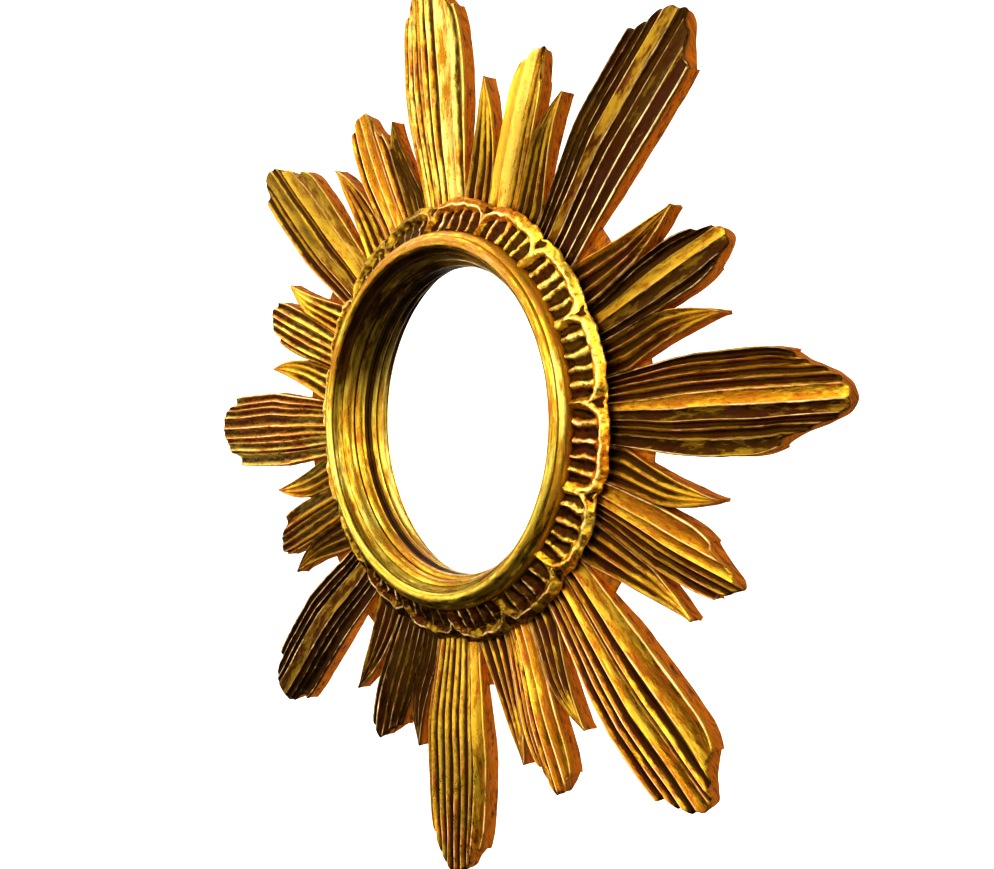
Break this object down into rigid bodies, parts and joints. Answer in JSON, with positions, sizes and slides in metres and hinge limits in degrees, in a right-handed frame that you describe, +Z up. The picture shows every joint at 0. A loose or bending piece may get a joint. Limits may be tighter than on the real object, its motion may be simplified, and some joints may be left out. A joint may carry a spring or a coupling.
{
  "type": "sunburst wall mirror",
  "caption": "Round wall mirror in a turned moulding and scalloped collar, on a carved and gilded board of fluted sun rays of several lengths.",
  "frame": {"origin": "hanging point, on the flat back of the ray board above the glass", "axes": "+X to the right seen from the front, +Y into the wall, +Z up; the front faces -Y"},
  "size_m": [0.606, 0.0349, 0.606],
  "materials": {
    "gilt_rays": "worn gold leaf over red-brown bole, dark in the flutes",
    "gilt_collar": "worn gold leaf over red-brown bole",
    "gilt_moulding": "burnished gold leaf, rubbed to olive and red-brown",
    "silvered_glass": "flat silvered looking glass",
    "plain_wood": "raw wood, darkened with age"
  },
  "bodies": {
    "root": {"sunburst_ray_board": "gilt_rays", "scalloped_collar": "gilt_collar", "turned_moulding": "gilt_moulding", "mirror_glass": "silvered_glass", "back_board": "plain_wood"}
  },
  "joints": []
}
